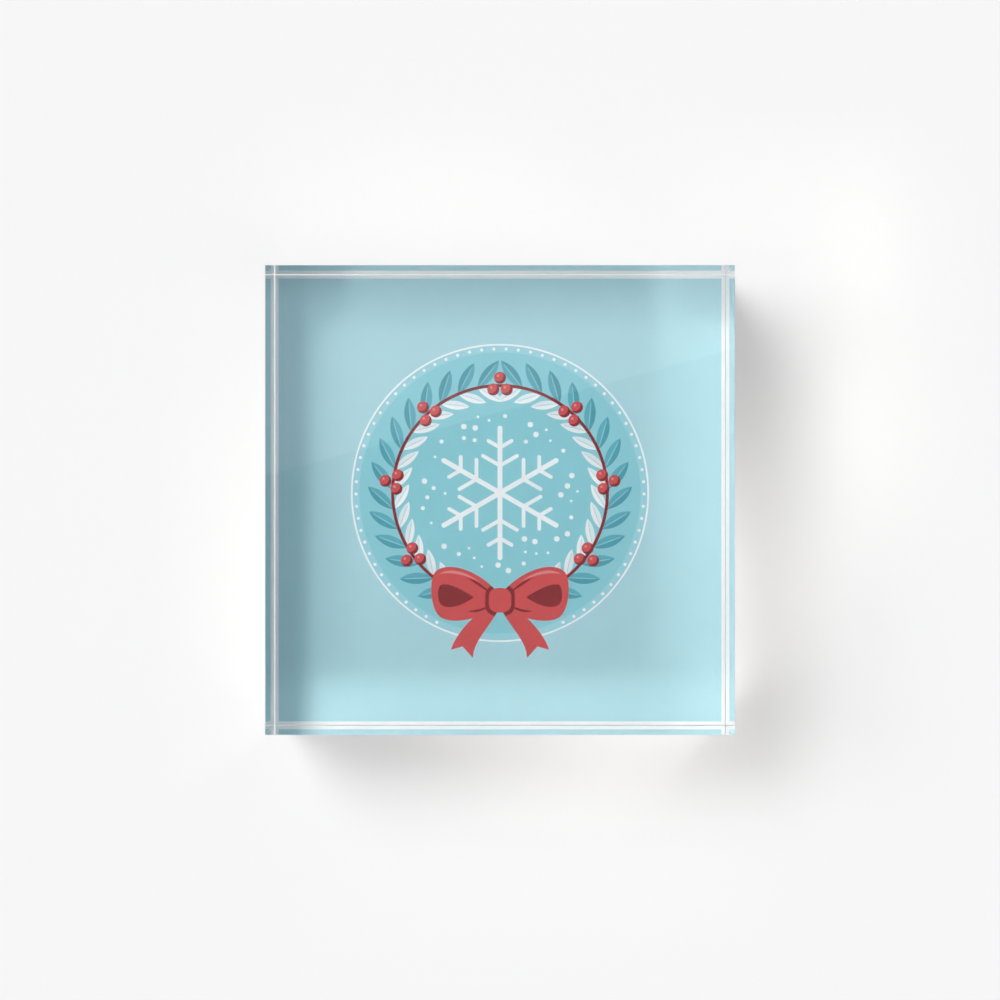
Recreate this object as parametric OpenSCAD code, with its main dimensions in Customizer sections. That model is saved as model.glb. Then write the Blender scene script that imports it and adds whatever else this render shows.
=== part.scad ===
// Clear acrylic picture block: a polished square block with a printed film mounted behind it.
// It lies on its back: +Z points out of the picture, +Y is the top of the picture.
// The origin is the centre of the backing's lower face.

/* [Block] */
// Width and height of the square face
block_w = 101.6; // [90:0.1:160]
// Thickness of the clear block
block_t = 25.4; // [12:0.1:40]
// Width of the polished 45 degree arris along every edge
arris = 0.1; // [0.05:0.05:1]

/* [Layers] */
// Thickness of the clear sheet between block and print
adhesive_t = 0.1; // [0.05:0.01:0.3]
// Thickness of the ink layer
ink_t = 0.05; // [0.03:0.01:0.1]
// Thickness of the white film that carries the ink
film_t = 0.25; // [0.1:0.01:0.5]
// Thickness of the sheet between film and backing
backing_adhesive_t = 0.1; // [0.05:0.01:0.3]
// Thickness of the white vinyl backing
backing_t = 0.5; // [0.2:0.05:2]
// Unprinted white border round the picture
border = 0.8; // [0.4:0.1:4]

/* [Wreath] */
// Height of the wreath's centre above the picture's centre
wreath_rise = 1.6; // [0:0.1:3]
// Radius of the stem
wreath_r = 24.2; // [22:0.1:26]
// Width of the stem
stem_w = 0.7; // [0.4:0.05:1.2]
// Length of an outer leaf
leaf_len = 7.8; // [6:0.1:9]
// Width of an outer leaf
leaf_w = 2.6; // [1.6:0.1:3]
// Length of an inner leaf
frost_leaf_len = 6.6; // [5:0.1:8]
// Width of an inner leaf
frost_leaf_w = 2; // [1.4:0.1:2.4]
// Angle between a leaf and the stem
leaf_lean = 40; // [30:1:50]
// Pairs of leaves on each branch
leaf_pairs = 14; // [10:1:16]
// Bare angle between the bottom of the wreath and its first leaf
first_leaf_angle = 27; // [24:1:32]
// Bare angle between the top of the wreath and its last leaf
last_leaf_angle = 12; // [10:1:16]

/* [Disc] */
// Gap between the leaf tips and the disc's edge
disc_gap = 1.2; // [0.6:0.1:2]
// Width of the pale rim round the disc
rim_w = 1.5; // [0.8:0.1:2.5]
// Width of the white line round the rim
outline_w = 0.4; // [0.25:0.05:0.8]

/* [Berries] */
// Radius of a berry
berry_r = 1.35; // [0.8:0.05:1.5]
// Gap between the three berries of a cluster
berry_gap = 0.35; // [0.2:0.05:0.6]
// Clusters on each branch, besides the one at the top
cluster_count = 3; // [1:1:3]
// Angle between clusters
cluster_step = 42; // [34:1:43]
// Width of the shaded side of a berry
berry_shade = 0.75; // [0.4:0.05:0.9]

/* [Bow] */
// Length of a loop from the knot's centre
loop_len = 15.5; // [12:0.1:18]
// Height of a loop
loop_h = 11.5; // [8:0.1:13]
// Width of the knot
knot_w = 5; // [4:0.1:6]
// Height of the knot
knot_h = 5.6; // [4.5:0.1:7]
// Sideways reach of a tail
tail_reach = 8.6; // [6:0.1:11]
// Length of a tail below the knot's centre
tail_len = 13; // [9:0.1:15]
// Width of the shade that the knot throws
knot_shade = 0.8; // [0.4:0.1:1.2]
// Width of a tail's cut end
tail_w = 5; // [3:0.1:6]

/* [Snowflake] */
// Gap between the inner leaf tips and the snowflake
flake_gap = 3.8; // [2:0.1:6]
// Width of an arm
arm_w = 1.1; // [0.6:0.05:1.6]
// Length of the longest side branch
branch_len = 4.4; // [2:0.1:5]
// Width of a side branch
branch_w = 0.85; // [0.5:0.05:1.2]

/* [Snow] */
// Dots tried in the spiral of falling snow
snow_count = 150; // [60:1:220]
// Radius of the largest dot
snow_r = 0.62; // [0.3:0.02:0.8]
// Least gap between a dot and what it falls past
snow_gap = 0.5; // [0.3:0.05:1]

/* [Hidden] */
$fn = 64;

// Layers are stacked from the backing up and end at the start of the block's arris.
sheet_w = block_w - 2 * arris;
picture_w = sheet_w - 2 * border;
film_z = backing_t + backing_adhesive_t;
ink_z = film_z + film_t;
adhesive_z = ink_z + ink_t;
block_z = adhesive_z + adhesive_t;

// The wreath's reach on both sides of its stem sets the disc and the space inside it.
cluster_r = (berry_r + berry_gap / 2) / sin(60);
outer_reach = max(leaf_len * sin(leaf_lean) + leaf_w / 2, cluster_r + berry_r);
inner_reach = max(frost_leaf_len * sin(leaf_lean) + frost_leaf_w / 2, cluster_r + berry_r);
disc_r = wreath_r + outer_reach + disc_gap;
rim_r = disc_r + rim_w;
outline_r = rim_r + outline_w;
inner_r = wreath_r - inner_reach;
flake_r = inner_r - flake_gap;

branch_count = 2;
branch_angle = 60;
arm_count = 6;
golden_angle = 137.508;
curve_steps = 10;
cut_overlap = 1;

leaf_step = (180 - first_leaf_angle - last_leaf_angle) / (leaf_pairs - 1);

// Points on a cubic curve with four control points, without the last one, so that curves join up.
function curve(p) = [
    for (i = [0 : curve_steps - 1])
        let (t = i / curve_steps, u = 1 - t)
            u ^ 3 * p[0] + 3 * u ^ 2 * t * p[1] + 3 * u * t ^ 2 * p[2] + t ^ 3 * p[3]
];

// A closed outline of curves, each starting where the one before it ends.
function outline(curves) = [for (c = curves) each curve(c)];

// Control points given as shares of a length and a height.
function sized(p, length, height) = [for (q = p) [q[0] * length, q[1] * height]];

function on_wreath(angle) = wreath_r * [cos(angle), sin(angle)];

// A square sheet that covers the flat of the block's back.
module sheet(z, thickness) {
    translate([-sheet_w / 2, -sheet_w / 2, z])
        cube([sheet_w, sheet_w, thickness]);
}

// Prints a flat shape in the ink layer.
module print_ink() {
    translate([0, 0, ink_z])
        linear_extrude(ink_t)
            children();
}

module at_wreath() {
    translate([0, wreath_rise])
        children();
}

module both_sides() {
    children();
    mirror([1, 0])
        children();
}

module ring(outer_r, inner_r) {
    difference() {
        circle(outer_r);
        circle(inner_r);
    }
}

// A pointed leaf along +X with its foot at the origin.
module leaf(length, width) {
    upper = [[0, 0], [0.28, 0.62], [0.68, 0.7], [1, 0]];
    lower = [[1, 0], [0.68, -0.7], [0.28, -0.62], [0, 0]];
    polygon(outline([sized(upper, length, width), sized(lower, length, width)]));
}

// A leaf at every place along both branches, turned from the stem by an angle.
module leaf_row(turn, length, width) {
    both_sides()
        for (i = [0 : leaf_pairs - 1]) {
            angle = -90 + first_leaf_angle + i * leaf_step;
            translate(on_wreath(angle))
                rotate(angle + 90 + turn)
                    leaf(length, width);
        }
}

module outer_leaves() {
    leaf_row(-leaf_lean, leaf_len, leaf_w);
}

module inner_leaves() {
    leaf_row(leaf_lean, frost_leaf_len, frost_leaf_w);
}

module stem_shape() {
    ring(wreath_r + stem_w / 2, wreath_r - stem_w / 2);
}

// Places children at the centre of every berry.
module at_berries() {
    clusters = [for (i = [-cluster_count : cluster_count]) 90 + i * cluster_step];
    for (angle = clusters, turn = [0 : 120 : 240])
        translate(on_wreath(angle))
            rotate(angle + turn)
                translate([cluster_r, 0])
                    rotate(-angle - turn)
                        children();
}

module berries_shape() {
    at_berries()
        circle(berry_r);
}

// The lit part of a berry, clear of its shaded lower right side.
module berry_light() {
    intersection() {
        circle(berry_r);
        translate(berry_shade * [-sin(45), cos(45)])
            circle(berry_r);
    }
}

module berry_dark() {
    difference() {
        circle(berry_r);
        translate(berry_shade * [-sin(45), cos(45)])
            circle(berry_r);
    }
}

// The bow's loop, from the knot out to the right and back.
module loop_shape() {
    top = [[0, 0.1], [0.3, 0.62], [0.78, 0.78], [0.94, 0.56]];
    end = [[0.94, 0.56], [1.04, 0.42], [1.02, -0.2], [0.86, -0.34]];
    base = [[0.86, -0.34], [0.66, -0.5], [0.24, -0.34], [0, -0.1]];
    polygon(outline([for (c = [top, end, base]) sized(c, loop_len, loop_h)]));
}

// The dark inside of the loop, seen at its open end.
module loop_inside() {
    top = [[0.38, 0.06], [0.55, 0.2], [0.74, 0.36], [0.86, 0.3]];
    end = [[0.86, 0.3], [0.92, 0.22], [0.92, -0.04], [0.84, -0.1]];
    base = [[0.84, -0.1], [0.72, -0.2], [0.5, -0.06], [0.38, 0.06]];
    polygon(outline([for (c = [top, end, base]) sized(c, loop_len, loop_h)]));
}

// A tail that hangs from the knot to a notched end.
module tail_shape() {
    side = tail_w * 0.5;
    tip = [tail_reach, -tail_len];
    outer = [[knot_w * 0.3, 0], [tail_reach * 0.55, -tail_len * 0.2],
        [tip[0] + side * 0.4, -tail_len * 0.5], [tip[0] + side, -tail_len * 0.86]];
    inner = [[tip[0] - side, tip[1]], [tip[0] - side, -tail_len * 0.66],
        [knot_w * 0.2, -tail_len * 0.4], [-knot_w * 0.1, 0]];
    notch = [tip[0] - side * 0.06, -tail_len * 0.8];
    polygon(concat(outline([outer]), [outer[3], notch], outline([inner]), [inner[3]]));
}

// Two creases that run from the knot into the loop.
module loop_creases() {
    upper = [[0.14, 0.14], [0.24, 0.3], [0.34, 0.39], [0.47, 0.43]];
    upper_back = [[0.47, 0.43], [0.36, 0.33], [0.28, 0.25], [0.14, 0.14]];
    lower = [[0.14, -0.1], [0.26, -0.16], [0.36, -0.2], [0.48, -0.21]];
    lower_back = [[0.48, -0.21], [0.36, -0.26], [0.26, -0.23], [0.14, -0.1]];
    for (crease = [[upper, upper_back], [lower, lower_back]])
        polygon(outline([for (c = crease) sized(c, loop_len, loop_h)]));
}

// The knot's outline, grown by a width all round.
module knot_shape(grow = 0) {
    right = [[0, -0.5], [0.42, -0.5], [0.55, -0.3], [0.5, 0]];
    upper = [[0.5, 0], [0.55, 0.3], [0.42, 0.5], [0, 0.5]];
    left = [[0, 0.5], [-0.42, 0.5], [-0.55, 0.3], [-0.5, 0]];
    lower = [[-0.5, 0], [-0.55, -0.3], [-0.42, -0.5], [0, -0.5]];
    width = knot_w + 2 * grow;
    height = knot_h + 2 * grow;
    polygon(outline([for (c = [right, upper, left, lower]) sized(c, width, height)]));
}

module at_bow() {
    at_wreath()
        translate([0, -wreath_r])
            children();
}

module ribbons_shape() {
    both_sides() {
        loop_shape();
        tail_shape();
    }
}

module bow_shape() {
    at_bow() {
        ribbons_shape();
        knot_shape();
    }
}

// The dark parts of the ribbons: inside the loops, along their creases and next to the knot.
module ribbon_folds() {
    both_sides() {
        loop_inside();
        loop_creases();
    }
    knot_shape(knot_shade);
}

// A bar along +X with a round end.
module bar(length, width) {
    translate([0, -width / 2])
        square([length, width]);
    translate([length, 0])
        circle(width / 2);
}

// One arm with pairs of side branches that shorten towards its tip.
module snowflake_arm() {
    tip = flake_r - arm_w / 2;
    bar(tip, arm_w);
    for (i = [0 : branch_count - 1], side = [-1, 1])
        translate([tip * (0.42 + 0.28 * i), 0])
            rotate(side * branch_angle)
                bar(branch_len * (1 - 0.32 * i), branch_w);
}

module snowflake_shape() {
    for (i = [0 : arm_count - 1])
        rotate(90 + i * 360 / arm_count)
            snowflake_arm();
}

// Distance of a point from the middle line of the nearest arm.
function arm_distance(r, angle) = let (
    sector = 360 / arm_count,
    past = (angle + 90) % sector
) r * sin(min(past, sector - past));

// Falling snow in a sunflower spiral, between the snowflake and the leaves.
module snow_shape() {
    snow_edge = inner_r - snow_gap - snow_r;
    flake_edge = flake_r + snow_gap + snow_r;
    arm_edge = branch_len * sin(branch_angle) + branch_w / 2 + snow_gap + snow_r;
    for (k = [1 : snow_count]) {
        r = snow_edge * sqrt(k / snow_count);
        angle = k * golden_angle;
        if (r > flake_edge || arm_distance(r, angle) > arm_edge)
            rotate(angle)
                translate([r, 0])
                    circle(snow_r * (0.5 + 0.25 * (k % 3)));
    }
}

// Sub-parts, one module each.

module acrylic_block() {
    color([0.85, 0.93, 0.95, 0.35])
        translate([0, 0, block_z])
            intersection() {
                arris_prism([0, 0, 0], [block_w, block_w], block_t);
                arris_prism([90, 0, 0], [block_w, block_t], block_w);
                arris_prism([90, 0, 90], [block_w, block_t], block_w);
            }
}

// A bar of the block's section with its four long edges cut to the arris, turned about the block's centre.
module arris_prism(turn, size, length) {
    x = size[0] / 2;
    y = size[1] / 2;
    translate([0, 0, block_t / 2])
        rotate(turn)
            linear_extrude(length, center = true)
                polygon([[x - arris, -y], [x, arris - y], [x, y - arris], [x - arris, y],
                    [arris - x, y], [-x, y - arris], [-x, arris - y], [arris - x, -y]]);
}

module mounting_adhesive() {
    color([0.9, 0.95, 0.96, 0.4])
        difference() {
            sheet(ink_z, ink_t + adhesive_t);
            translate([-picture_w / 2, -picture_w / 2, ink_z - cut_overlap])
                cube([picture_w, picture_w, ink_t + cut_overlap]);
        }
}

module field_ink() {
    color("#b4dde6")
        print_ink()
            difference() {
                square(picture_w, center = true);
                at_wreath()
                    circle(outline_r);
                bow_shape();
            }
}

module outline_ink() {
    color("#f2f3f4")
        print_ink()
            difference() {
                at_wreath()
                    ring(outline_r, rim_r);
                bow_shape();
            }
}

module rim_ink() {
    color("#a6d5de")
        print_ink()
            difference() {
                at_wreath()
                    ring(rim_r, disc_r);
                bow_shape();
            }
}

module disc_ink() {
    color("#91c9d2")
        print_ink()
            difference() {
                at_wreath()
                    difference() {
                        circle(disc_r);
                        outer_leaves();
                        inner_leaves();
                        stem_shape();
                        berries_shape();
                        snowflake_shape();
                        snow_shape();
                    }
                bow_shape();
            }
}

module leaf_ink() {
    color("#4f9fb0")
        print_ink()
            difference() {
                at_wreath()
                    difference() {
                        outer_leaves();
                        stem_shape();
                        berries_shape();
                    }
                bow_shape();
            }
}

module frost_leaf_ink() {
    color("#eef0f2")
        print_ink()
            difference() {
                at_wreath()
                    difference() {
                        inner_leaves();
                        stem_shape();
                        berries_shape();
                    }
                bow_shape();
            }
}

module stem_ink() {
    color("#823b42")
        print_ink()
            difference() {
                at_wreath()
                    difference() {
                        stem_shape();
                        berries_shape();
                    }
                bow_shape();
            }
}

module berry_ink() {
    color("#c65658")
        print_ink()
            difference() {
                at_wreath()
                    at_berries()
                        berry_light();
                bow_shape();
            }
}

module berry_shade_ink() {
    color("#823b42")
        print_ink()
            difference() {
                at_wreath()
                    at_berries()
                        berry_dark();
                bow_shape();
            }
}

module bow_ink() {
    color("#c65658")
        print_ink()
            at_bow() {
                difference() {
                    ribbons_shape();
                    ribbon_folds();
                }
                knot_shape();
            }
}

module bow_shade_ink() {
    color("#823b42")
        print_ink()
            at_bow()
                difference() {
                    intersection() {
                        ribbons_shape();
                        ribbon_folds();
                    }
                    knot_shape();
                }
}

module snowflake_ink() {
    color("#f2f3f4")
        print_ink()
            at_wreath()
                snowflake_shape();
}

module snow_ink() {
    color("#f2f3f4")
        print_ink()
            at_wreath()
                snow_shape();
}

module print_film() {
    color("#f4f5f5")
        sheet(film_z, film_t);
}

module backing_adhesive() {
    color([0.9, 0.9, 0.86, 0.6])
        sheet(backing_t, backing_adhesive_t);
}

module backing_sheet() {
    color("#efefec")
        sheet(0, backing_t);
}

acrylic_block();
mounting_adhesive();
field_ink();
rim_ink();
disc_ink();
outline_ink();
leaf_ink();
frost_leaf_ink();
stem_ink();
berry_ink();
berry_shade_ink();
bow_ink();
bow_shade_ink();
snowflake_ink();
snow_ink();
print_film();
backing_adhesive();
backing_sheet();
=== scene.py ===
"""Looks of the clear acrylic picture block: optics of the block, inks of the print, light and camera."""
import math

import bmesh
import bpy
from mathutils import Matrix, Vector


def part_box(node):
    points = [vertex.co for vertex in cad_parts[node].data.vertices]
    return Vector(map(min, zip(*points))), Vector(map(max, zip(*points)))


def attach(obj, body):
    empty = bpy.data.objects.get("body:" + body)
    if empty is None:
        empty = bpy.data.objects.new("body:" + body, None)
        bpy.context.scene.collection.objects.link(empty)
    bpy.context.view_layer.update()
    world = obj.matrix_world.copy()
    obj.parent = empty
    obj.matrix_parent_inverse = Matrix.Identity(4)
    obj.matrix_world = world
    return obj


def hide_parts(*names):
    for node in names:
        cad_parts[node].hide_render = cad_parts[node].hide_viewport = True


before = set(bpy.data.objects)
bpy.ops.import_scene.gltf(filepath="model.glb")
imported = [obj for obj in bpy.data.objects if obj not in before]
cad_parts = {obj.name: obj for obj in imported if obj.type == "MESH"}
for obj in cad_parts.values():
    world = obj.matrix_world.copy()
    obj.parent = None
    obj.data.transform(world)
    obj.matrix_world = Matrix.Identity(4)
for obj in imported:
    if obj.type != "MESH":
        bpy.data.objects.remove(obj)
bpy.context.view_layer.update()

MM = 0.001

# Sizes of the printed design in millimetres and degrees, as in the part's source.
WREATH_RISE = 1.6
WREATH_R = 24.2
LEAF_LEN = 7.8
LEAF_W = 2.6
FROST_LEAF_LEN = 6.6
FROST_LEAF_W = 2.0
LEAF_LEAN = 40
LEAF_PAIRS = 14
FIRST_LEAF_ANGLE = 27
LAST_LEAF_ANGLE = 12
DISC_GAP = 1.2
RIM_W = 1.5
BERRY_R = 1.35
BERRY_GAP = 0.35
CLUSTER_COUNT = 3
CLUSTER_STEP = 42
LOOP_LEN = 15.5
LOOP_H = 11.5
LEAF_STEP = (180 - FIRST_LEAF_ANGLE - LAST_LEAF_ANGLE) / (LEAF_PAIRS - 1)
CLUSTER_R = (BERRY_R + BERRY_GAP / 2) / math.sin(math.radians(60))
LEAF_REACH = LEAF_LEN * math.sin(math.radians(LEAF_LEAN)) + LEAF_W / 2
DISC_R = WREATH_R + LEAF_REACH + DISC_GAP

# Sizes in metres, read from the frame.
BLOCK_LOW, BLOCK_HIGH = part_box("acrylic_block")
INK_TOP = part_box("field_ink")[1].z
FILM_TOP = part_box("print_film")[1].z
SHEET_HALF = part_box("print_film")[1].x
ARRIS = BLOCK_HIGH.x - SHEET_HALF


# Helpers

def linear(colour):
    """Turns an sRGB hex colour into linear RGBA."""
    channels = [int(colour[i : i + 2], 16) / 255 for i in (1, 3, 5)]
    return [c / 12.92 if c <= 0.04045 else ((c + 0.055) / 1.055) ** 2.4 for c in channels] + [1.0]


def add(tree, kind, inputs=None, **settings):
    """Adds a node to a tree, with its settings, its socket values and its links."""
    node = tree.nodes.new(kind)
    for name, value in settings.items():
        setattr(node, name, value)
    for key, value in (inputs or {}).items():
        sockets = value if isinstance(value, list) else [value]
        if isinstance(sockets[0], bpy.types.NodeSocket):
            for socket in sockets:
                tree.links.new(socket, node.inputs[key])
        else:
            node.inputs[key].default_value = value
    return node


def new_material(name):
    """A material with its node tree and its Principled shader."""
    material = bpy.data.materials.new(name)
    material.use_nodes = True
    return material, material.node_tree, material.node_tree.nodes["Principled BSDF"]


def new_piece(name, bm):
    """Makes an object at the origin from a bmesh."""
    mesh = bpy.data.meshes.new(name)
    bm.to_mesh(mesh)
    bm.free()
    piece = bpy.data.objects.new(name, mesh)
    bpy.context.scene.collection.objects.link(piece)
    return piece


def keep(piece, slot, *nodes):
    """Hands a finished piece over to the frame, in place of the CAD nodes that it stands for."""
    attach(piece, "root")
    if nodes:
        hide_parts(*nodes)


def dress(material, *nodes):
    """Gives CAD nodes their finished material."""
    for node in nodes:
        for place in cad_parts[node].material_slots:
            place.material = material


def cubic(points, t):
    """A point on the cubic curve with four control points."""
    u = 1 - t
    weights = (u**3, 3 * u * u * t, 3 * u * t * t, t**3)
    return [sum(w * p[axis] for w, p in zip(weights, points)) for axis in (0, 1)]


def plate(bm, outline, low, high):
    """Adds a closed flat plate between two heights. The outline runs anticlockwise, in millimetres."""
    bottom = [bm.verts.new((x * MM, y * MM, low)) for x, y in outline]
    top = [bm.verts.new((x * MM, y * MM, high)) for x, y in outline]
    bm.faces.new(bottom[::-1])
    bm.faces.new(top)
    for i in range(len(outline)):
        bm.faces.new((bottom[i - 1], bottom[i], top[i], top[i - 1]))


# Materials

def polished_acrylic():
    """Cast acrylic, sawn and polished on all sides: clear and glossy, with the faint lines that polishing
    leaves."""
    material, tree, shader = new_material("polished_cast_acrylic")
    place = add(tree, "ShaderNodeTexCoord").outputs["Object"]
    # Polishing lines run round the block 0.5 mm apart, far coarser than real ones so that they show.
    line_gap = (25 * MM, 25 * MM, 0.5 * MM)
    density = Vector(1 / gap for gap in line_gap)
    stretch = add(tree, "ShaderNodeMapping", {"Vector": place, "Scale": density}).outputs["Vector"]
    lines = add(tree, "ShaderNodeTexNoise", {"Vector": stretch, "Scale": 1.0, "Detail": 2.0}).outputs["Fac"]
    haze = add(tree, "ShaderNodeMapRange", {"Value": lines, "From Min": 0.45, "From Max": 0.75,
                                            "To Min": 0.0, "To Max": 0.03}).outputs["Result"]
    tree.links.new(haze, shader.inputs["Roughness"])
    shader.inputs["Base Color"].default_value = linear("#fefefe")
    shader.inputs["IOR"].default_value = 1.49
    shader.inputs["Transmission Weight"].default_value = 1.0
    return material


def dimmed(tree, colour, level):
    """Multiplies a colour, which is a socket or RGBA, by a level."""
    grey = add(tree, "ShaderNodeCombineColor", {"Red": level, "Green": level, "Blue": level})
    shade = add(tree, "ShaderNodeMix", {"Factor": 1.0, "A": colour, "B": grey.outputs["Color"]},
                data_type="RGBA", blend_type="MULTIPLY")
    return shade.outputs[2]


def screened(tree, colour):
    """Lays a printer's dot screen and the slight cloudiness of ink over a colour."""
    place = add(tree, "ShaderNodeTexCoord").outputs["Object"]
    # Real dots are about 0.1 mm apart. These are 0.3 mm, so that they show close up.
    dots = add(tree, "ShaderNodeTexVoronoi", {"Vector": place, "Scale": 1 / (0.3 * MM)}).outputs["Distance"]
    # Clouds in the ink are about 6 mm across.
    clouds = add(tree, "ShaderNodeTexNoise", {"Vector": place, "Scale": 1 / (6 * MM), "Detail": 3.0})
    both = add(tree, "ShaderNodeMath", {0: dots, 1: clouds.outputs["Fac"]}, operation="ADD")
    level = add(tree, "ShaderNodeMapRange",
                {"Value": both.outputs["Value"], "From Min": 0.55, "From Max": 1.35,
                 "To Min": 1 + SCREEN_DEPTH, "To Max": 1 - SCREEN_DEPTH})
    return dimmed(tree, colour, level.outputs["Result"])


def finish_ink(tree, shader, colour):
    """Gives a shader the finish of ink behind a clear sheet: matt, with no gloss of its own."""
    tree.links.new(screened(tree, colour), shader.inputs["Base Color"])
    shader.inputs["Roughness"].default_value = 0.6
    shader.inputs["Specular IOR Level"].default_value = 0.0


def cured_ink(name, colour):
    """Cured ink, printed as a flat field: even colour with a fine dot screen."""
    material, tree, shader = new_material(name)
    finish_ink(tree, shader, linear(colour))
    return material


def leaf_ink(name, sunny, shaded, rib):
    """Cured ink of a leaf: two tones that meet at a fine rib, no two leaves quite alike."""
    material, tree, shader = new_material(name)
    leaf = add(tree, "ShaderNodeUVMap", uv_map="leaf").outputs["UV"]
    # X runs from the stem to the tip. Y runs across, from 0 to 1, with the rib halfway.
    run = add(tree, "ShaderNodeSeparateXYZ", {"Vector": leaf}).outputs
    upper = add(tree, "ShaderNodeMath", {0: run["Y"], 1: 0.5}, operation="GREATER_THAN").outputs["Value"]
    halves = add(tree, "ShaderNodeMix", {"Factor": upper, "A": linear(shaded), "B": linear(sunny)},
                 data_type="RGBA").outputs[2]
    midway = add(tree, "ShaderNodeMath", {0: run["Y"], 1: 0.5, 2: RIB_SHARE / 2}, operation="COMPARE")
    before_tip = add(tree, "ShaderNodeMath", {0: run["X"], 1: RIB_END}, operation="LESS_THAN")
    on_rib = add(tree, "ShaderNodeMath", {0: midway.outputs["Value"], 1: before_tip.outputs["Value"]},
                 operation="MULTIPLY").outputs["Value"]
    ribbed = add(tree, "ShaderNodeMix", {"Factor": on_rib, "A": halves, "B": linear(rib)}, data_type="RGBA")
    tone = add(tree, "ShaderNodeAttribute", attribute_name="tone").outputs["Fac"]
    level = add(tree, "ShaderNodeMapRange", {"Value": tone, "To Min": TONE_LOW, "To Max": TONE_HIGH})
    finish_ink(tree, shader, dimmed(tree, ribbed.outputs[2], level.outputs["Result"]))
    return material


def satin_film():
    """White polypropylene film, cast with a satin surface: a soft sheen and a fine grain."""
    material, tree, shader = new_material("white_satin_film")
    place = add(tree, "ShaderNodeTexCoord").outputs["Object"]
    # Grain of the film, 0.4 mm, drawn coarser than real.
    texture = add(tree, "ShaderNodeTexNoise", {"Vector": place, "Scale": 1 / (0.4 * MM), "Detail": 2.0})
    grain = texture.outputs["Fac"]
    sheen = add(tree, "ShaderNodeMapRange", {"Value": grain, "To Min": 0.3, "To Max": 0.5})
    tint = add(tree, "ShaderNodeMix", {"Factor": grain, "A": linear("#f0f1f1"), "B": linear("#f6f7f7")},
               data_type="RGBA")
    tree.links.new(tint.outputs[2], shader.inputs["Base Color"])
    tree.links.new(sheen.outputs["Result"], shader.inputs["Roughness"])
    shader.inputs["IOR"].default_value = 1.49
    return material


def milky_adhesive():
    """Acrylic adhesive seen on its cut edge: milky and soft, slightly uneven."""
    material, tree, shader = new_material("milky_acrylic_adhesive")
    place = add(tree, "ShaderNodeTexCoord").outputs["Object"]
    # Streaks from the knife, 0.8 mm apart.
    streaks = add(tree, "ShaderNodeTexNoise", {"Vector": place, "Scale": 1 / (0.8 * MM), "Detail": 1.0})
    tint = add(tree, "ShaderNodeMix",
               {"Factor": streaks.outputs["Fac"], "A": linear("#e6e7e4"), "B": linear("#f1f2ef")},
               data_type="RGBA")
    tree.links.new(tint.outputs[2], shader.inputs["Base Color"])
    shader.inputs["Roughness"].default_value = 0.35
    shader.inputs["IOR"].default_value = 1.47
    return material


def embossed_vinyl():
    """Calendered white vinyl with a fine pebble emboss: matt, with small dimples that catch the light and
    painted shade in the low parts.
    """
    material, tree, shader = new_material("white_embossed_vinyl")
    place = add(tree, "ShaderNodeTexCoord").outputs["Object"]
    # Pebbles are 0.9 mm across.
    pebbles = add(tree, "ShaderNodeTexVoronoi", {"Vector": place, "Scale": 1 / (0.9 * MM)},
                  feature="SMOOTH_F1")
    height = pebbles.outputs["Distance"]
    # Painted shade: the colour darkens where the emboss is low, following the same height as the bump.
    tint = add(tree, "ShaderNodeMix", {"Factor": height, "A": linear("#f2f2ef"), "B": linear("#e4e4e0")},
               data_type="RGBA")
    bump = add(tree, "ShaderNodeBump", {"Height": height, "Strength": 0.35, "Distance": 0.1 * MM},
               invert=True)
    tree.links.new(tint.outputs[2], shader.inputs["Base Color"])
    tree.links.new(bump.outputs["Normal"], shader.inputs["Normal"])
    shader.inputs["Roughness"].default_value = 0.55
    shader.inputs["IOR"].default_value = 1.53
    return material


# How much the dot screen lightens and darkens a colour.
SCREEN_DEPTH = 0.025
# Share of a leaf's width that its rib takes, and how far along the leaf the rib ends.
RIB_SHARE = 0.1
RIB_END = 0.86
# Tone of the darkest and of the lightest leaf.
TONE_LOW = 0.94
TONE_HIGH = 1.05

ACRYLIC = polished_acrylic()
PALE_BLUE = cured_ink("pale_blue_cured_ink", "#b4dbe3")
PALE_AQUA = cured_ink("pale_aqua_cured_ink", "#a5d8e1")
AQUA = cured_ink("aqua_cured_ink", "#91d1da")
WHITE = cured_ink("white_cured_ink", "#fafafb")
RED = cured_ink("red_cured_ink", "#d84e50")
ROSE = cured_ink("rose_cured_ink", "#e68789")
MAROON = cured_ink("maroon_cured_ink", "#8d1a24")
DEEP_AQUA_LEAF = leaf_ink("deep_aqua_leaf_ink", "#5fb0c0", "#4f9fb0", "#8ccad5")
WHITE_LEAF = leaf_ink("white_leaf_ink", "#f8f8f9", "#e9f0f2", "#bfdde5")
FILM = satin_film()
ADHESIVE = milky_adhesive()
VINYL = embossed_vinyl()

dress(PALE_BLUE, "field_ink")
dress(PALE_AQUA, "rim_ink")
dress(AQUA, "disc_ink")
dress(WHITE, "outline_ink", "snowflake_ink", "snow_ink")
dress(RED, "berry_ink", "bow_ink")
dress(MAROON, "berry_shade_ink", "bow_shade_ink", "stem_ink")
dress(FILM, "print_film")
dress(ADHESIVE, "backing_adhesive")
dress(VINYL, "backing_sheet")


# The block

def acrylic_body():
    """The clear block with rounded arrises."""
    size = BLOCK_HIGH - BLOCK_LOW
    middle = (BLOCK_HIGH + BLOCK_LOW) / 2
    bm = bmesh.new()
    bmesh.ops.create_cube(bm, size=1.0)
    for vert in bm.verts:
        vert.co = Vector(c * s for c, s in zip(vert.co, size)) + middle
    bmesh.ops.bevel(bm, geom=bm.edges[:], offset=ARRIS, segments=3, profile=0.5, affect="EDGES")
    piece = new_piece("acrylic_body", bm)
    piece.data.materials.append(ACRYLIC)
    return piece


keep(acrylic_body(), "clear_acrylic", "acrylic_block", "mounting_adhesive")


# The printed wreath

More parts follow.
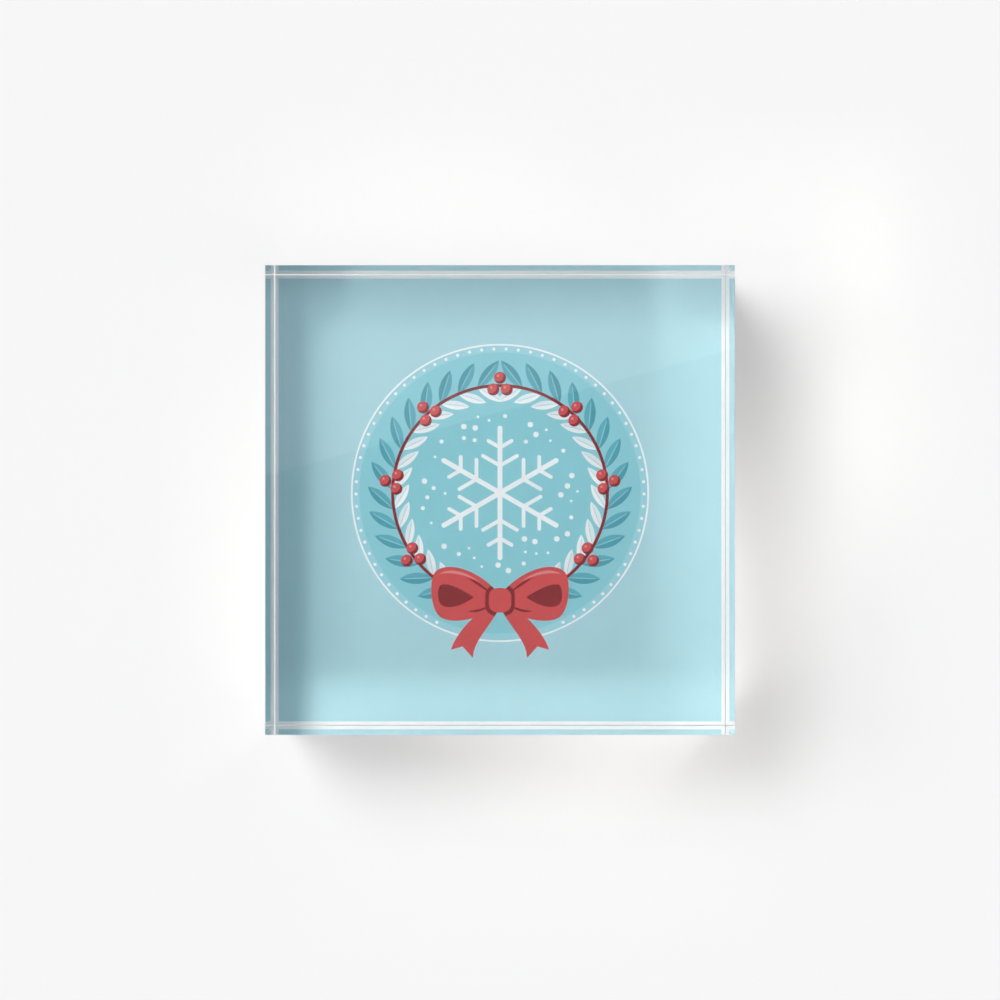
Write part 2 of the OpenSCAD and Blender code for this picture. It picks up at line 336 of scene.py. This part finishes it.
def ring_row():
    """A rule that stamps one shape along a ring, on one side or on both, and gives each stamp a tone."""
    tree = bpy.data.node_groups.new("ring_row", "GeometryNodeTree")
    inputs = {"Shape": "Object", "Count": "Int", "Radius": "Float", "First Angle": "Float",
              "Angle Step": "Float", "Follow": "Float", "Turn": "Float", "Offset": "Vector",
              "Both Sides": "Bool", "Centre": "Vector", "Seed": "Int", "Ink": "Material"}
    for name, kind in inputs.items():
        tree.interface.new_socket(name=name, in_out="INPUT", socket_type="NodeSocket" + kind)
    tree.interface.new_socket(name="Geometry", in_out="OUTPUT", socket_type="NodeSocketGeometry")
    row = add(tree, "NodeGroupInput").outputs
    index = add(tree, "GeometryNodeInputIndex").outputs["Index"]
    angle = add(tree, "ShaderNodeMath", {0: index, 1: row["Angle Step"], 2: row["First Angle"]},
                operation="MULTIPLY_ADD").outputs["Value"]
    spoke = add(tree, "ShaderNodeCombineXYZ", {"X": row["Radius"]}).outputs["Vector"]
    place = add(tree, "ShaderNodeVectorRotate", {"Vector": spoke, "Angle": angle},
                rotation_type="Z_AXIS").outputs["Vector"]
    shifted = add(tree, "ShaderNodeVectorMath", {0: place, 1: row["Offset"]},
                  operation="ADD").outputs["Vector"]
    points = add(tree, "GeometryNodePoints", {"Count": row["Count"], "Position": shifted}).outputs["Points"]
    heading = add(tree, "ShaderNodeMath", {0: angle, 1: row["Follow"], 2: row["Turn"]},
                  operation="MULTIPLY_ADD").outputs["Value"]
    turn = add(tree, "ShaderNodeCombineXYZ", {"Z": heading}).outputs["Vector"]
    shape = add(tree, "GeometryNodeObjectInfo", {"Object": row["Shape"]}).outputs["Geometry"]
    stamps = add(tree, "GeometryNodeInstanceOnPoints",
                 {"Points": points, "Instance": shape, "Rotation": turn}).outputs["Instances"]
    chance = add(tree, "FunctionNodeRandomValue", {"Seed": row["Seed"]}, data_type="FLOAT").outputs[1]
    toned = add(tree, "GeometryNodeStoreNamedAttribute",
                {"Geometry": stamps, "Name": "tone", "Value": chance},
                data_type="FLOAT", domain="INSTANCE").outputs["Geometry"]
    # The mirrored side lies a hair higher, so that where two leaves cross one is on top.
    mirrored = add(tree, "GeometryNodeTransform", {"Geometry": toned, "Scale": (-1, 1, 1),
                                                   "Translation": (0, 0, MIRROR_LIFT)}).outputs["Geometry"]
    other = add(tree, "GeometryNodeSwitch", {"Switch": row["Both Sides"], "True": mirrored},
                input_type="GEOMETRY").outputs["Output"]
    rows = add(tree, "GeometryNodeJoinGeometry", {"Geometry": [toned, other]}).outputs["Geometry"]
    moved = add(tree, "GeometryNodeTransform", {"Geometry": rows, "Translation": row["Centre"]})
    real = add(tree, "GeometryNodeRealizeInstances", {"Geometry": moved.outputs["Geometry"]})
    inked = add(tree, "GeometryNodeSetMaterial",
                {"Geometry": real.outputs["Geometry"], "Material": row["Ink"]})
    add(tree, "NodeGroupOutput", {"Geometry": inked.outputs["Geometry"]})
    return tree


def lay_row(name, **values):
    """Makes one piece with the ring row, as a plain mesh with its faces outwards."""
    piece = new_piece(name, bmesh.new())
    modifier = piece.modifiers.new("ring row", "NODES")
    modifier.node_group = RING_ROW
    for socket in RING_ROW.interface.items_tree:
        if socket.in_out == "INPUT" and socket.name in values:
            modifier[socket.identifier] = values[socket.name]
    evaluated = piece.evaluated_get(bpy.context.evaluated_depsgraph_get())
    mesh = bpy.data.meshes.new_from_object(evaluated)
    piece.modifiers.remove(modifier)
    bm = bmesh.new()
    bm.from_mesh(mesh)
    bmesh.ops.recalc_face_normals(bm, faces=bm.faces[:])
    bm.to_mesh(mesh)
    bm.free()
    mesh.name = name
    piece.data = mesh
    return piece


def leaf_shape(length, width):
    """One leaf along X, as a closed plate with a UV map that runs along and across it. It is a little
    larger than its place in the ink beside it and a little lower, so that no gap shows."""
    stations = 16
    across = (-1, -0.5, 0, 0.5, 1)
    bm = bmesh.new()
    leaf = bm.loops.layers.uv.new("leaf")
    marks = {}
    ribs = []
    for i in range(stations + 1):
        x, half = cubic(LEAF_EDGE, i / stations)
        ends = i in (0, stations)
        rib = []
        for side in (0,) if ends else across:
            y = side * (half * width + LEAF_TUCK)
            vert = bm.verts.new((x * length * MM, y * MM, LEAF_TOP))
            marks[vert] = (x, 0.5 + side / 2)
            rib.append(vert)
        ribs.append(rib)
    for before, after in zip(ribs, ribs[1:]):
        if len(before) == 1:
            fans = [(before[0], a, b) for a, b in zip(after, after[1:])]
        elif len(after) == 1:
            fans = [(a, after[0], b) for a, b in zip(before, before[1:])]
        else:
            fans = [(a, c, d, b) for a, b, c, d in zip(before, before[1:], after, after[1:])]
        for fan in fans:
            face = bm.faces.new(fan[::-1])
            for loop in face.loops:
                loop[leaf].uv = marks[loop.vert]
    under = bmesh.ops.extrude_face_region(bm, geom=bm.faces[:])["geom"]
    for vert in [part for part in under if isinstance(part, bmesh.types.BMVert)]:
        vert.co.z = LEAF_LOW
    bmesh.ops.recalc_face_normals(bm, faces=bm.faces[:])
    return new_piece("leaf_shape", bm)


def dot_shape(radius, sides=20):
    """A small round dot of ink, as a closed plate."""
    bm = bmesh.new()
    turns = [2 * math.pi * i / sides for i in range(sides)]
    plate(bm, [(radius * math.cos(a), radius * math.sin(a)) for a in turns], MARK_LOW, MARK_TOP)
    return new_piece("dot_shape", bm)


# Outline of a leaf's upper edge, in shares of its length and width, as in the part's source.
LEAF_EDGE = ((0, 0), (0.28, 0.62), (0.68, 0.7), (1, 0))
LEAF_TUCK = 0.04
MIRROR_LIFT = 0.004 * MM
LEAF_TOP = INK_TOP - 0.02 * MM
LEAF_LOW = FILM_TOP + 0.005 * MM
MARK_LOW = INK_TOP - 0.01 * MM
MARK_TOP = INK_TOP + 0.015 * MM
CENTRE = (0, WREATH_RISE * MM, 0)
RING_ROW = ring_row()


def wreath_leaves(name, length, width, lean, ink, seed, slot, node):
    """All leaves on one side of the stem, along both branches."""
    shape = leaf_shape(length, width)
    piece = lay_row(name, **{
        "Shape": shape, "Count": LEAF_PAIRS, "Radius": WREATH_R * MM, "Seed": seed, "Ink": ink,
        "First Angle": math.radians(FIRST_LEAF_ANGLE - 90), "Angle Step": math.radians(LEAF_STEP),
        "Follow": 1.0, "Turn": math.radians(90 + lean), "Both Sides": True, "Centre": CENTRE})
    bpy.data.objects.remove(shape)
    keep(piece, slot, node)


def lay_marks(name, shape, ink, slot, rows):
    """Small marks of ink on top of the print, in one or more ring rows, as one piece."""
    pieces = [lay_row(name, **{"Shape": shape, "Ink": ink, "Centre": CENTRE, **row}) for row in rows]
    bpy.data.objects.remove(shape)
    bm = bmesh.new()
    for piece in pieces:
        bm.from_mesh(piece.data)
    for piece in pieces[1:]:
        bpy.data.objects.remove(piece)
    bm.to_mesh(pieces[0].data)
    bm.free()
    pieces[0].name = name
    keep(pieces[0], slot)


def rim_beads():
    """A row of white dots along the pale rim, left open where the ribbon ends cross it."""
    step = math.radians((360 - 2 * BEAD_OPENING) / (BEAD_COUNT - 1))
    first = math.radians(BEAD_OPENING - 90)
    radius = (DISC_R + RIM_W / 2) * MM
    row = {"Count": BEAD_COUNT, "Radius": radius, "First Angle": first, "Angle Step": step}
    lay_marks("rim_beads", dot_shape(BEAD_R), WHITE, "white_ink", [row])


def berry_glints():
    """A small pale glint on the upper left of every berry."""
    rows = []
    for turn in (0, 120, 240):
        # A berry's place on its ring, seen from the wreath's centre, is the same for every cluster.
        x = WREATH_R + CLUSTER_R * math.cos(math.radians(turn))
        y = CLUSTER_R * math.sin(math.radians(turn))
        first = 90 - CLUSTER_COUNT * CLUSTER_STEP + math.degrees(math.atan2(y, x))
        rows.append({"Count": 2 * CLUSTER_COUNT + 1, "Radius": math.hypot(x, y) * MM,
                     "First Angle": math.radians(first), "Angle Step": math.radians(CLUSTER_STEP),
                     "Offset": (-GLINT_SHIFT * MM, GLINT_SHIFT * MM, 0)})
    lay_marks("berry_glints", dot_shape(GLINT_R, 12), ROSE, "red_ink", rows)


def bow_highlights():
    """Pale strokes along the tops of both loops of the bow, where ribbon catches the light."""
    bm = bmesh.new()
    count = 14
    for side in (1, -1):
        outer = []
        inner = []
        for i in range(count + 1):
            x, y = cubic(LOOP_TOP, HIGHLIGHT_FROM + (HIGHLIGHT_TO - HIGHLIGHT_FROM) * i / count)
            swell = HIGHLIGHT_W / 2 * math.sin(math.pi * i / count)
            middle = y * LOOP_H - HIGHLIGHT_DROP
            outer.append((side * x * LOOP_LEN, BOW_Y + middle + swell))
            inner.append((side * x * LOOP_LEN, BOW_Y + middle - swell))
        outline = inner + outer[-2:0:-1]
        plate(bm, outline if side > 0 else outline[::-1], MARK_LOW, MARK_TOP)
    bmesh.ops.recalc_face_normals(bm, faces=bm.faces[:])
    piece = new_piece("bow_highlights", bm)
    piece.data.materials.append(ROSE)
    keep(piece, "red_ink")


# Marks on the print, in millimetres and degrees.
BEAD_COUNT = 64
BEAD_R = 0.36
BEAD_OPENING = 26
GLINT_R = 0.3
GLINT_SHIFT = 0.45
HIGHLIGHT_W = 0.7
HIGHLIGHT_DROP = 1.15
HIGHLIGHT_FROM = 0.3
HIGHLIGHT_TO = 0.92
# Top edge of a bow loop, in shares of its length and height, as in the part's source.
LOOP_TOP = ((0, 0.1), (0.3, 0.62), (0.78, 0.78), (0.94, 0.56))
BOW_Y = WREATH_RISE - WREATH_R

wreath_leaves("wreath_leaves", LEAF_LEN, LEAF_W, -LEAF_LEAN, DEEP_AQUA_LEAF, 3, "deep_aqua_ink", "leaf_ink")
wreath_leaves("frost_leaves", FROST_LEAF_LEN, FROST_LEAF_W, LEAF_LEAN, WHITE_LEAF, 8, "white_ink",
              "frost_leaf_ink")
rim_beads()
berry_glints()
bow_highlights()


# Floor, light and camera

def white_floor():
    """A pale table top."""
    bm = bmesh.new()
    bmesh.ops.create_grid(bm, x_segments=1, y_segments=1, size=FLOOR_HALF)
    for vert in bm.verts:
        vert.co.z = -FLOOR_DROP
    floor = new_piece("floor", bm)
    material, _, shader = new_material("white_table")
    shader.inputs["Base Color"].default_value = linear("#f7f7f7")
    shader.inputs["Roughness"].default_value = 0.9
    shader.inputs["Specular IOR Level"].default_value = 0.0
    floor.data.materials.append(material)


def scattered_light(tree):
    """A switch that is 1 for light that a matt surface scatters, and 0 for what is seen straight, mirrored or
    through the block."""
    depth = add(tree, "ShaderNodeLightPath").outputs["Diffuse Depth"]
    return add(tree, "ShaderNodeMath", {0: depth, 1: 0.5}, operation="GREATER_THAN").outputs["Value"]


def softbox(name, bearing, tilt, height, size, radiance):
    """A level square softbox above the face, towards a bearing from +X and at a tilt from straight up, in
    degrees. It lights the print through the block, and isn't seen in the block's reflections."""
    light = bpy.data.lights.new(name, "AREA")
    light.color = LAMP_TINT
    light.size = size
    light.energy = radiance * math.pi * size**2
    light.use_nodes = True
    tree = light.node_tree
    tree.links.new(scattered_light(tree), tree.nodes["Emission"].inputs["Strength"])
    box = bpy.data.objects.new(name, light)
    reach = height * math.tan(math.radians(tilt))
    turn = math.radians(bearing)
    box.location = (reach * math.cos(turn), reach * math.sin(turn), BLOCK_HIGH.z + height)
    box.visible_camera = False
    box.visible_diffuse = False
    box.visible_glossy = False
    bpy.context.scene.collection.objects.link(box)


def black_card():
    """A matt black card above the camera. The polished face mirrors it below a slanting edge, and the pale
    room above that edge. It shows in reflections only."""
    bm = bmesh.new()
    bmesh.ops.create_grid(bm, x_segments=1, y_segments=1, size=1.0)
    turn = Matrix.Rotation(math.radians(MIRROR_TILT), 3, "Z")
    spread = 1 + CARD_HEIGHT / CAMERA_RANGE
    edge = Vector((0, MIRROR_RISE * spread, BLOCK_HIGH.z + CARD_HEIGHT))
    for vert in bm.verts:
        vert.co = turn @ Vector((vert.co.x * CARD_W / 2, (vert.co.y - 1) * CARD_W / 2, 0)) + edge
    card = new_piece("black_card", bm)
    material, _, shader = new_material("matt_black_card")
    shader.inputs["Base Color"].default_value = linear("#0a0a0a")
    shader.inputs["Roughness"].default_value = 1.0
    shader.inputs["Specular IOR Level"].default_value = 0.0
    card.data.materials.append(material)
    card.visible_camera = False
    card.visible_diffuse = False
    card.visible_transmission = False
    card.visible_shadow = False


def corner_flag():
    """A small black flag above the face. It keeps the main softbox off the far corner of the print, where
    two mirrored walls would add to its light. Only light that the print scatters meets it, so it is never
    seen."""
    bm = bmesh.new()
    bmesh.ops.create_grid(bm, x_segments=1, y_segments=1, size=FLAG_W / 2)
    reach = FLAG_HEIGHT * math.tan(math.radians(MAIN_TILT))
    turn = math.radians(MAIN_BEARING)
    shade = Vector((BLOCK_HIGH.x, BLOCK_LOW.y, BLOCK_HIGH.z)) + FLAG_SHADE
    for vert in bm.verts:
        vert.co += shade + Vector((reach * math.cos(turn), reach * math.sin(turn), FLAG_HEIGHT))
    flag = new_piece("corner_flag", bm)
    material, tree, shader = new_material("matt_black_flag")
    shader.inputs["Base Color"].default_value = linear("#0a0a0a")
    shader.inputs["Specular IOR Level"].default_value = 0.0
    clear = add(tree, "ShaderNodeBsdfTransparent").outputs["BSDF"]
    black = shader.outputs["BSDF"]
    either = add(tree, "ShaderNodeMixShader", {0: scattered_light(tree), 1: clear, 2: black})
    tree.links.new(either.outputs["Shader"], tree.nodes["Material Output"].inputs["Surface"])
    flag.data.materials.append(material)
    flag.visible_camera = False
    flag.visible_diffuse = False
    flag.visible_glossy = False
    flag.visible_shadow = False


def sunlight(name, bearing, tilt, spread, strength):
    """Broad daylight from one side, as through a large diffuser. It lights the table evenly."""
    light = bpy.data.lights.new(name, "SUN")
    light.angle = math.radians(spread)
    light.energy = strength
    sun = bpy.data.objects.new(name, light)
    sun.rotation_euler = (0, math.radians(tilt), math.radians(bearing))
    sun.visible_glossy = False
    sun.visible_transmission = False
    bpy.context.scene.collection.objects.link(sun)


def room(table, print_light):
    """Even light from all round, in two colours: for the table, and for the print, which it reaches only
    through the block. Seen straight, mirrored or through the block it is a backdrop as pale as the table."""
    world = bpy.data.worlds.new("room")
    world.use_nodes = True
    tree = world.node_tree
    path = add(tree, "ShaderNodeLightPath").outputs
    bent = add(tree, "ShaderNodeMath", {0: path["Is Glossy Ray"], 1: path["Is Transmission Ray"]},
               operation="MAXIMUM")
    sight = add(tree, "ShaderNodeMath", {0: path["Is Camera Ray"], 1: bent.outputs["Value"]},
                operation="MAXIMUM")
    # Light that a matt surface has scattered comes from the dimmer room.
    direct = add(tree, "ShaderNodeMath", {0: path["Diffuse Depth"], 1: 0.5}, operation="LESS_THAN")
    seen = add(tree, "ShaderNodeMath", {0: sight.outputs["Value"], 1: direct.outputs["Value"]},
               operation="MULTIPLY")
    # To the print and back a ray goes into the block twice and out of it twice.
    through = add(tree, "ShaderNodeMath", {0: path["Transmission Depth"], 1: 2.5}, operation="GREATER_THAN")
    dim = add(tree, "ShaderNodeMix", {"Factor": through.outputs["Value"], "A": table, "B": print_light},
              data_type="RGBA")
    colour = add(tree, "ShaderNodeMix", {"Factor": seen.outputs["Value"], "A": dim.outputs[2],
                                         "B": linear("#f8f8f8")}, data_type="RGBA")
    tree.links.new(colour.outputs[2], tree.nodes["Background"].inputs["Color"])
    bpy.context.scene.world = world


# The table reaches far beyond the picture, and the block lies a hair above it.
FLOOR_HALF = 30.0
FLOOR_DROP = 0.05 * MM
# The camera looks straight down from 0.4 m above the face, which is 470 pixels wide in the picture.
CAMERA_RANGE = 400 * MM
FACE_PIXELS = 470
IMAGE_PIXELS = 1000
# Width of the camera's sensor in millimetres, as its lens is.
SENSOR_W = 36
# Edge of the reflection on the face: its height above the face's centre, and its slope in degrees.
MIRROR_RISE = 19 * MM
MIRROR_TILT = 15.2
CARD_HEIGHT = 1.0
CARD_W = 0.6
# The main softbox, in degrees, and the flag that shades the far corner of the face.
MAIN_BEARING = 140
MAIN_TILT = 52
FLAG_W = 10 * MM
FLAG_HEIGHT = 22 * MM
FLAG_SHADE = Vector((-5 * MM, 4 * MM, 0))
# A cool room and warm lamps: in shade the print and its white margin are a little bluer than in full light.
TABLE_LIGHT = (0.55, 0.55, 0.55, 1)
PRINT_LIGHT = (0.25, 0.332, 0.373, 1)
LAMP_TINT = (1.07, 1.01, 0.97)

white_floor()
black_card()
corner_flag()
room(TABLE_LIGHT, PRINT_LIGHT)
sunlight("daylight", 135, 43, 30, 1.35)
sunlight("side_daylight", 165, 54, 30, 0.72)
# The block throws these across the print, and some of their light leaves it again through the far walls.
softbox("main_softbox", MAIN_BEARING, MAIN_TILT, 0.5, 0.4, 5.4)
softbox("far_softbox", 122, 45, 1.41, 0.6, 7.0)
softbox("high_softbox", 158, 38, 0.21, 0.077, 5.5)
softbox("upper_softbox", 102, 64, 0.67, 0.47, 2.1)
softbox("low_softbox", 209, 66, 0.74, 0.85, 9.6)
softbox("right_softbox", 27, 50, 0.18, 0.103, 4.5)

# Light reaches the print only through the clear block, so refraction stays sharp for it too.
bpy.context.scene.cycles.blur_glossy = 0.0

camera_data = bpy.data.cameras.new("camera")
camera_data.sensor_width = SENSOR_W
frame_width = 2 * BLOCK_HIGH.x * IMAGE_PIXELS / FACE_PIXELS
camera_data.lens = SENSOR_W * CAMERA_RANGE / frame_width
camera = bpy.data.objects.new("camera", camera_data)
camera.location = (0, 0, BLOCK_HIGH.z + CAMERA_RANGE)
bpy.context.scene.collection.objects.link(camera)
bpy.context.scene.camera = camera
bpy.context.scene.view_settings.view_transform = "Standard"
